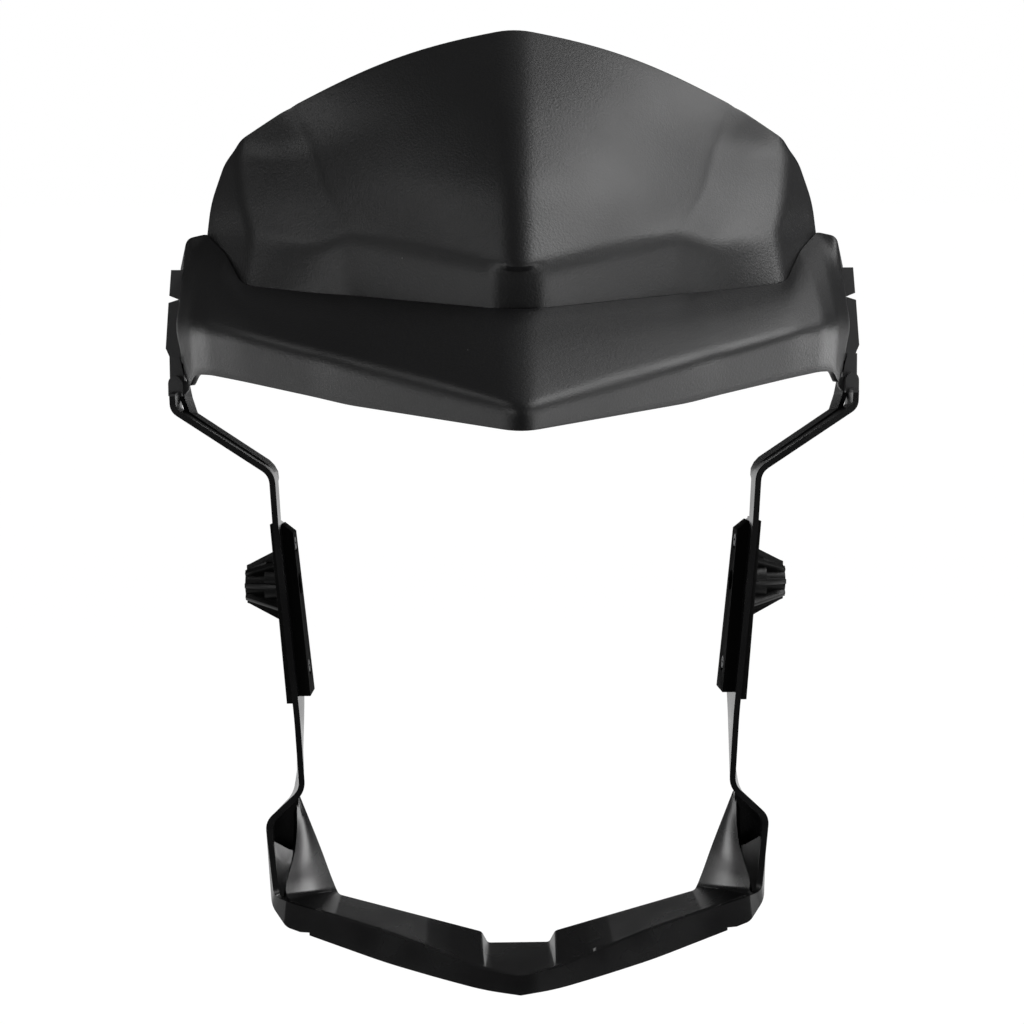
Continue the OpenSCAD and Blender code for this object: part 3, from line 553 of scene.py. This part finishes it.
def cowl_grid(sizes):
    """Outer surface of the upper cowl, from the turned-back top edge to the end of its flange."""
    columns = len(COWL_COLUMNS)
    rows = []
    for v in range(len(COWL_RIDGE)):
        rows.append([(*COWL_COLUMNS[u][v], u, v) for u in range(columns)])
    rim = []
    for u, (x, y, z, _, _) in enumerate(rows[0]):
        share = 1 - (u / (columns - 1)) ** 4 * 0.8
        rim.append((x - 0.1 * u / (columns - 1) * share * TOP_RETURN, y + 0.95 * share * TOP_RETURN,
                    z - 0.3 * share * TOP_RETURN, u, 0))
    ridge, crease = sizes.ridge_round / MM, sizes.crease_round / MM
    grid = lofted([rim] + rows, (ridge, crease, crease, crease, 0), (0, 0.8, 7, 7, crease, 0.6, 0),
                  (26, 4, 4, 4), (2, 8, 8, 8, 6, 4))
    u, v = grid[:, :, 3], grid[:, :, 4]
    inner = np.abs(u) < 1
    arch = np.where(inner, np.sin(np.pi * np.abs(u)), 0)
    grid[:, :, 1] -= 3.2 * arch * np.sin(np.radians(np.minimum(v, 3) * 60))
    grid[:, :, 2] += 5 * arch * np.clip(2 - v, 0, None) / 2
    for row, place in zip(grid, v[:, 0]):
        blunt = np.clip((place - 2.9) / 0.15, 0, 1)
        half = row[row[:, 0] >= 0]
        half = half[np.argsort(half[:, 0])]
        limit = np.interp(NOSE_HALF_WIDTH, half[:, 0], half[:, 1]) - 0.8 * (1 - (row[:, 0] / NOSE_HALF_WIDTH) ** 2)
        flat = np.where(np.abs(row[:, 0]) < NOSE_HALF_WIDTH, np.maximum(row[:, 1], limit), row[:, 1])
        row[:, 1] += blunt * (flat - row[:, 1])
    return grid


def seam_row():
    """Where the cowls meet: along the upper cowl's lower band, then up its side."""
    def on_cowl(u, v):
        i, j = min(int(v), 4), min(int(u), 3)
        a, b = v - i, u - j
        net = [[np.array(COWL_COLUMNS[j + q][i + p], float) for q in (0, 1)] for p in (0, 1)]
        return tuple((1 - a) * ((1 - b) * net[0][0] + b * net[0][1]) + a * ((1 - b) * net[1][0] + b * net[1][1]))
    seam = [on_cowl(u, 4) for u in (0, 1, 2, 3)] + [on_cowl(3.5, 3.475), on_cowl(4, 2.95)]
    return seam + [(141.5, 18, 148.6), (145, 21, 136)]


def brow_grid(sizes):
    """Outer surface of the brow, from the seam over its crease to the bottom edge."""
    top, crease_row = seam_row(), BROW_CREASE
    net = [top]
    for share in (0.25, 0.5, 0.75):
        swell = 1.6 * math.sin(math.pi * share)
        net.append([(a[0] + (b[0] - a[0]) * share, a[1] + (b[1] - a[1]) * share - swell * (u < 6),
                     a[2] + (b[2] - a[2]) * share + swell * (u < 6)) for u, (a, b) in enumerate(zip(top, crease_row))])
    rows = [[(*p, u, v) for u, p in enumerate(row)] for v, row in enumerate(net + [crease_row, BROW_BOTTOM])]
    ridge, crease = sizes.ridge_round / MM, sizes.crease_round / MM
    return lofted(rows, (ridge, crease, crease, crease, 3, 3, 3, 0), (0, 9, 9, 9, 6, 0),
                  (26, 4, 8, 5, 3, 5, 6), (3, 1, 1, 1, 4))


class MASK_OT_upper_cowl(bpy.types.Operator):
    """Build the creased upper cowl with its ribs and screw tabs"""

    bl_idname = "mask.upper_cowl"
    bl_label = "Upper Cowl"

    def execute(self, context):
        sizes = context.scene.mask_sizes
        grid = cowl_grid(sizes)
        shell = thickened(sheet("upper_cowl", grid), sizes.cowl_wall)
        rounded_edges(shell, sizes.edge_round, angle=50)
        face = grid[8:]
        zone = thickened(sheet("rib_zone", shifted(face, -COWL_WALL_MM / 2)), (4 + COWL_WALL_MM / 2) * MM)
        ribs = box((-130, -130, 168), (130, 65, 169.6))
        for x in (-101, -68, -34, 0, 34, 68, 101):
            combine(ribs, box((x - 0.8, -130, 99.6), (x + 0.8, 65, 228.3)), "UNION")
        combine(ribs, zone, "INTERSECT")
        combine(shell, ribs, "UNION")
        for side in (-1, 1):
            for x, y, z in TABS:
                tab = rod((side * x, y + 2.5, z), 6.5, 2.5)
                combine(tab, box((side * x - 6.5, y, z), (side * x + 6.5, y + 2.5, z + 11)), "UNION")
                combine(tab, rod((side * x, y + 4, z), 2.25, 6), "DIFFERENCE")
                combine(shell, tab, "UNION")
        finished(shell, "upper_cowl_shell", "grained_cowl", grained_plastic(context), "upper_cowl")
        return {"FINISHED"}


# Screw tabs of the upper cowl: distance from the centre, front plane, height of the hole
TABS = [(40.98, -39.27, 103.64), (82.3, -19.25, 108.3)]
EAR_BOSSES = [(137, 11, 106), (137, 11, 125)]


class MASK_OT_brow_cowl(bpy.types.Operator):
    """Build the brow with its screw bosses"""

    bl_idname = "mask.brow_cowl"
    bl_label = "Brow Cowl"

    def execute(self, context):
        sizes = context.scene.mask_sizes
        grid = brow_grid(sizes)
        shell = thickened(sheet("brow_cowl", grid), sizes.cowl_wall)
        rounded_edges(shell, sizes.edge_round, angle=50)
        low = cowl_grid(sizes)
        low = low[low[:, 0, 4] > 1.9]
        cutter = thickened(sheet("seam_cutter", shifted(low, SEAM_GAP)), (2 * COWL_WALL_MM + SEAM_GAP) * MM)
        combine(shell, cutter, "DIFFERENCE")
        zone = sheet("boss_zone", shifted(grid, -COWL_WALL_MM / 2))
        only(zone)
        count = len(zone.data.vertices)
        bpy.ops.object.mode_set(mode="EDIT")
        bpy.ops.mesh.select_all(action="SELECT")
        bpy.ops.mesh.extrude_region_move(TRANSFORM_OT_translate={"value": (0, 0.06, 0)})
        bpy.ops.object.mode_set(mode="OBJECT")
        for vertex in zone.data.vertices[count:]:
            vertex.co.y = 60 * MM
        bpy.ops.object.mode_set(mode="EDIT")
        bpy.ops.mesh.select_all(action="SELECT")
        bpy.ops.mesh.normals_make_consistent(inside=False)
        bpy.ops.object.mode_set(mode="OBJECT")
        bosses = None
        places = [(side * x, y, z) for side in (-1, 1) for x, y, z in TABS + EAR_BOSSES]
        for place in places:
            boss = rod(place, 4, 60)
            if bosses is None:
                bosses = boss
            else:
                combine(bosses, boss, "UNION")
        combine(bosses, zone, "INTERSECT")
        combine(shell, bosses, "UNION")
        for place in places:
            combine(shell, rod((place[0], place[1] + 0.5, place[2]), 2, 9.5), "DIFFERENCE")
        finished(shell, "brow_cowl_shell", "grained_cowl", grained_plastic(context), "brow_cowl")
        return {"FINISHED"}


class MASK_OT_frame(bpy.types.Operator):
    """Build the one-piece U frame with its ears, arms and chin"""

    bl_idname = "mask.frame"
    bl_label = "Frame"

    def execute(self, context):
        sizes = context.scene.mask_sizes
        piece = self.wall()
        combine(piece, self.shelf(), "UNION")
        for side in (-1, 1):
            for outline, front, depth in FRAME_PLATES:
                points = [(side * x, front + depth / 2, z) for x, z in outline]
                combine(piece, outward(plate(points, depth)), "UNION")
            for rows, wall in ((FLANGE, 2), (POCKET_RAMP, SHELF_WALL_MM)):
                strip = np.array([mirrored(row, side)[::side] for row in rows], float)
                combine(piece, outward(thickened(sheet("strip", strip), wall * MM)), "UNION")
            for x in RIB_X:
                combine(piece, outward(plate(self.rib(side, x), 1.6)), "UNION")
            ridge = [(side * (x + 0.2), y + 0.9, z) for (x, y, z), *_ in SHELF_PATH[:6]]
            combine(piece, tube(ridge, RIDGE_TUBE_MM), "UNION")
            low, high = CLIP_NOTCH
            notch = box((min(side * low[0], side * high[0]), *low[1:]), (max(side * low[0], side * high[0]), *high[1:]))
            combine(piece, notch, "DIFFERENCE")
            for x, y, z in EAR_BOSSES:
                combine(piece, rod((side * x, y + 4, z), 2.25, 6), "DIFFERENCE")
            combine(piece, rod((side * 99, 0, 0), 3.75, 20, along_x=True), "DIFFERENCE")
        rounded_edges(piece, sizes.edge_round, angle=45)
        finished(piece, "bezel_frame_moulding", "frame_moulding", glossy_plastic(context), "bezel_frame")
        apply_modifier(piece, "WEIGHTED_NORMAL", keep_sharp=True)
        return {"FINISHED"}

    def wall(self):
        reaches = [corner[3] for corner in FRAME_PATH]
        edges = []
        for k in range(3):
            half = cut_corners([corner[k] for corner in FRAME_PATH], reaches, [1] * (len(FRAME_PATH) - 1))
            edges.append(np.vstack([half, half[-2::-1] * (-1, 1, 1)]))
        return outward(thickened(sheet("frame_wall", np.stack(edges, axis=1)), FRAME_WALL_MM * MM))

    def shelf(self):
        reaches = [corner[2] for corner in SHELF_PATH]
        spans = [1] * (len(SHELF_PATH) - 1)
        front, back = (cut_corners([(*corner[k], corner[3]) for corner in SHELF_PATH], reaches, spans)
                       for k in (0, 1))
        t = np.linspace(0, 1, 9)[None, :, None]
        half = front[:, None, :3] * (1 - t) + back[:, None, :3] * t
        along = np.gradient(half, axis=0)
        across = np.gradient(half, axis=1)
        down = np.cross(across, along)
        down /= np.linalg.norm(down, axis=2, keepdims=True)
        half += down * front[:, None, 3:] * np.sin(np.pi * t)
        full = np.vstack([half, half[-2::-1] * (-1, 1, 1)])
        return outward(thickened(sheet("chin_shelf", full[:, ::-1]), SHELF_WALL_MM * MM))

    def rib(self, side, x):
        low, high = bottom(x), lip(x)
        share = (x - 15.8) / (78.6 - 15.8)
        end_y, end_z = -10 + 18 * share, -150.2 + 11.3 * share
        outline = [(low[1] + 1, low[2] + 1.2), (high[1] + 1, high[2] - 1.9), (end_y - 2, end_z - 1.3),
                   (end_y - 3, end_z - 4), (low[1] + 9, low[2] + 2.6)]
        return [(side * x, y, z) for y, z in outline]


# Upper and lower fin of a boss, in X and Z
BOSS_FINS = [[(101.5, 6.2), (101.5, 14.3), (102.8, 14.3), (114.4, 8.4), (114.4, 6.2)],
             [(100, -6.2), (114.4, -6.2), (114.4, -8.4), (101, -15.8), (99, -15.8)]]


class MASK_OT_brackets(bpy.types.Operator):
    """Build the two side brackets with their ribbed bosses"""

    bl_idname = "mask.brackets"
    bl_label = "Side Brackets"

    def execute(self, context):
        for side, sign in (("left", -1), ("right", 1)):
            piece = solid_copy(side + "_mount_bracket")
            for fin in BOSS_FINS:
                combine(piece, outward(plate([(sign * x, 0, z) for x, z in fin], 1.8)), "UNION")
            rounded_edges(piece, context.scene.mask_sizes.edge_round, angle=40)
            finished(piece, side + "_ribbed_bracket", "bracket_moulding", matt_plastic(context),
                     side + "_mount_bracket")
        return {"FINISHED"}


# Front corners of a pad: outer top, inner top, inner bottom, outer bottom; its rear plane
PAD_CORNERS = [(99.7, -4, 26), (94.9, -4, 22.2), (87.9, -9, -47.3), (92.7, -9, -47.3)]
PAD_REAR = 8
PAD_SCREW_Z = (-36, 17)


class MASK_OT_pads(bpy.types.Operator):
    """Build the rubber pads inside the arms"""

    bl_idname = "mask.pads"
    bl_label = "Inner Pads"

    def execute(self, context):
        outer_top, inner_top, inner_bottom, outer_bottom = PAD_CORNERS
        for side, sign in (("left", -1), ("right", 1)):
            piece = box((0, 0, 0), (1, 1, 1))
            for vertex in piece.data.vertices:
                outer, rear, top = (c > 0.5 * MM for c in vertex.co)
                x, y, z = {(True, True): outer_top, (True, False): outer_bottom,
                           (False, True): inner_top, (False, False): inner_bottom}[outer, top]
                vertex.co = Vector((sign * x, PAD_REAR if rear else y, z)) * MM
            outward(piece)
            for z in PAD_SCREW_Z:
                combine(piece, rod((sign * 92, -0.5, z), 3.4, 16, along_x=True), "DIFFERENCE")
            combine(piece, rod((sign * 92, 0, 0), 4.5, 16, along_x=True), "DIFFERENCE")
            rounded_edges(piece, context.scene.mask_sizes.edge_round * 1.5, angle=40, segments=3)
            finished(piece, side + "_rubber_pad", "pad_rubber", pad_rubber(context), side + "_inner_pad")
        return {"FINISHED"}


class MASK_OT_hardware(bpy.types.Operator):
    """Finish the steel collars and the screws"""

    bl_idname = "mask.hardware"
    bl_label = "Collars and Screws"

    def execute(self, context):
        for name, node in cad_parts.items():
            if "collar" in name:
                finish = turned_steel(context)
            elif "screw" in name:
                finish = blackened_steel(context)
            else:
                continue
            node.data.materials.clear()
            node.data.materials.append(finish)
        return {"FINISHED"}


# ---- Stage ----

AZIMUTH, ELEVATION, ROLL = (math.radians(a) for a in (-1.15, 4.0, 0.33))
TARGET_MM = (-1.8, -14, 31)
DISTANCE_MM = 650
FOCAL_PX = 650 / 0.42
PICTURE_PX = 1024


def soft_lamp(name, place, target, size, watts):
    bpy.ops.object.light_add(type="AREA", location=place)
    lamp = bpy.context.object
    lamp.name = lamp.data.name = name
    lamp.data.shape = "RECTANGLE"
    lamp.data.size, lamp.data.size_y = size
    lamp.data.energy = watts
    lamp.visible_camera = False
    lamp.rotation_euler = (Vector(place) - Vector(target)).to_track_quat("Z", "Y").to_euler()
    return lamp


class MASK_OT_stage(bpy.types.Operator):
    """Lay the pale floor and backdrop, light the mask and set the camera"""

    bl_idname = "mask.stage"
    bl_label = "Stage"

    def execute(self, context):
        self.floor(context)
        self.lamps(context)
        self.camera(context)
        return {"FINISHED"}

    def floor(self, context):
        bpy.ops.object.select_all(action="DESELECT")
        bpy.ops.mesh.primitive_plane_add(size=1, location=(0, 1.42, -0.26), scale=(1, 1, 1))
        bpy.ops.transform.resize(value=(5, 3.16, 1))
        bpy.ops.object.transform_apply(location=True, rotation=True, scale=True)
        sweep = context.object
        sweep.name = "studio_sweep"
        bpy.ops.object.mode_set(mode="EDIT")
        bpy.ops.mesh.select_mode(type="EDGE")
        bpy.ops.mesh.select_all(action="DESELECT")
        bm = bmesh.from_edit_mesh(sweep.data)
        for edge in bm.edges:
            edge.select_set(all(v.co.y > 2.9 for v in edge.verts))
        bmesh.update_edit_mesh(sweep.data)
        bpy.ops.mesh.extrude_region_move(TRANSFORM_OT_translate={"value": (0, 0, 0.8)})
        bpy.ops.object.mode_set(mode="OBJECT")
        apply_modifier(sweep, "BEVEL", width=0.3, segments=12, limit_method="ANGLE")
        bpy.ops.object.shade_smooth()
        material, tree, output = new_material("pale_paper_sweep")
        ray = add(tree, "ShaderNodeLightPath")
        seen = add(tree, "ShaderNodeMath", {0: (ray, "Is Camera Ray"), 1: (ray, "Is Glossy Ray")}, operation="MAXIMUM")
        seen = add(tree, "ShaderNodeMath", {0: (seen, "Value"), 1: (ray, "Is Transmission Ray")}, operation="MAXIMUM")
        share = add(tree, "ShaderNodeMath", {0: (seen, "Value"), 1: 0.97}, operation="MULTIPLY")
        paper = add(tree, "ShaderNodeBsdfDiffuse", {"Color": context.scene.mask_colours.stage})
        white = add(tree, "ShaderNodeEmission", {"Color": (1, 1, 1, 1), "Strength": 1.03})
        mixed = add(tree, "ShaderNodeMixShader", {0: (share, "Value"), 1: (paper, "BSDF"), 2: (white, "Emission")})
        tree.links.new(mixed.outputs["Shader"], output.inputs["Surface"])
        sweep.data.materials.append(material)

    def lamps(self, context):
        aim = (0, -0.03, 0.04)
        soft_lamp("key_softbox", (1.0, -0.5, 0.97), aim, (0.65, 0.85), 13)
        soft_lamp("right_top_softbox", (0.75, 0.2, 1.25), aim, (0.6, 0.8), 2.2)
        soft_lamp("right_low_reflector", (1.04, -0.45, -0.4), aim, (0.5, 0.6), 3.8)
        soft_lamp("left_low_reflector", (-1.04, -0.45, -0.4), aim, (0.5, 0.6), 1.4)
        soft_lamp("right_side_reflector", (1.25, 0.18, -0.02), (0, 0, -0.12), (0.5, 0.3), 4)
        soft_lamp("left_side_reflector", (-1.25, 0.18, -0.02), (0, 0, -0.12), (0.5, 0.3), 3)
        soft_lamp("left_softbox", (-1.0, -0.62, 0.9), aim, (0.35, 0.35), 1.7)
        soft_lamp("right_front_panel", (0.8, -1.0, -0.05), (0, 0, 0.12), (0.35, 0.35), 1.6)
        soft_lamp("left_front_panel", (-0.8, -1.0, -0.05), (0, 0, 0.12), (0.35, 0.35), 2.0)
        soft_lamp("top_softbox", (0, -0.05, 1.5), aim, (0.8, 0.8), 0.5)
        world = bpy.data.worlds.new("studio")
        context.scene.world = world
        world.use_nodes = True
        tree = world.node_tree
        tree.nodes.clear()
        output = add(tree, "ShaderNodeOutputWorld")
        ray = add(tree, "ShaderNodeLightPath")
        room = add(tree, "ShaderNodeBackground", {"Color": (1, 1, 1, 1), "Strength": 0.06})
        white = add(tree, "ShaderNodeBackground", {"Color": (1, 1, 1, 1), "Strength": 1.0})
        mixed = add(tree, "ShaderNodeMixShader", {0: (ray, "Is Camera Ray"), 1: (room, "Background"),
                                                  2: (white, "Background")})
        tree.links.new(mixed.outputs["Shader"], output.inputs["Surface"])

    def camera(self, context):
        back = Vector((math.sin(AZIMUTH) * math.cos(ELEVATION), -math.cos(AZIMUTH) * math.cos(ELEVATION),
                       math.sin(ELEVATION)))
        right = (-back).cross(Vector((0, 0, 1))).normalized()
        up = right.cross(-back)
        turned_right = right * math.cos(ROLL) - up * math.sin(ROLL)
        turned_up = right * math.sin(ROLL) + up * math.cos(ROLL)
        bpy.ops.object.camera_add()
        camera = context.object
        camera.name = "product_camera"
        camera.matrix_world = (Matrix.Translation((Vector(TARGET_MM) + DISTANCE_MM * back) * MM)
                               @ Matrix((turned_right, turned_up, back)).transposed().to_4x4())
        camera.data.sensor_width = 36
        camera.data.lens = 36 * FOCAL_PX / PICTURE_PX
        camera.data.clip_start, camera.data.clip_end = 0.05, 30
        context.scene.camera = camera
        context.scene.view_settings.view_transform = "Standard"


class MASK_PT_panel(bpy.types.Panel):
    """Sidebar panel with the mask's sizes, colours and building steps"""

    bl_idname = "MASK_PT_panel"
    bl_label = "Headlight Mask"
    bl_space_type = "VIEW_3D"
    bl_region_type = "UI"
    bl_category = "Headlight Mask"

    def draw(self, context):
        for heading, group in (("Sizes", context.scene.mask_sizes), ("Colours", context.scene.mask_colours)):
            rows = self.layout.box()
            rows.label(text=heading)
            for key in group.bl_rna.properties.keys():
                if key not in ("rna_type", "name"):
                    rows.prop(group, key)
        for step in STEPS:
            self.layout.operator(step.bl_idname)


STEPS = (MASK_OT_upper_cowl, MASK_OT_brow_cowl, MASK_OT_frame, MASK_OT_brackets, MASK_OT_pads,
         MASK_OT_hardware, MASK_OT_stage)
CLASSES = (MaskSizes, MaskColours, *STEPS, MASK_PT_panel)


def register():
    for made in CLASSES:
        bpy.utils.register_class(made)
    bpy.types.Scene.mask_sizes = bpy.props.PointerProperty(type=MaskSizes)
    bpy.types.Scene.mask_colours = bpy.props.PointerProperty(type=MaskColours)


def unregister():
    del bpy.types.Scene.mask_colours
    del bpy.types.Scene.mask_sizes
    for made in reversed(CLASSES):
        bpy.utils.unregister_class(made)


def main():
    register()
    for step in STEPS:
        group, name = step.bl_idname.split(".")
        getattr(getattr(bpy.ops, group), name)()


if __name__ == "__main__":
    main()
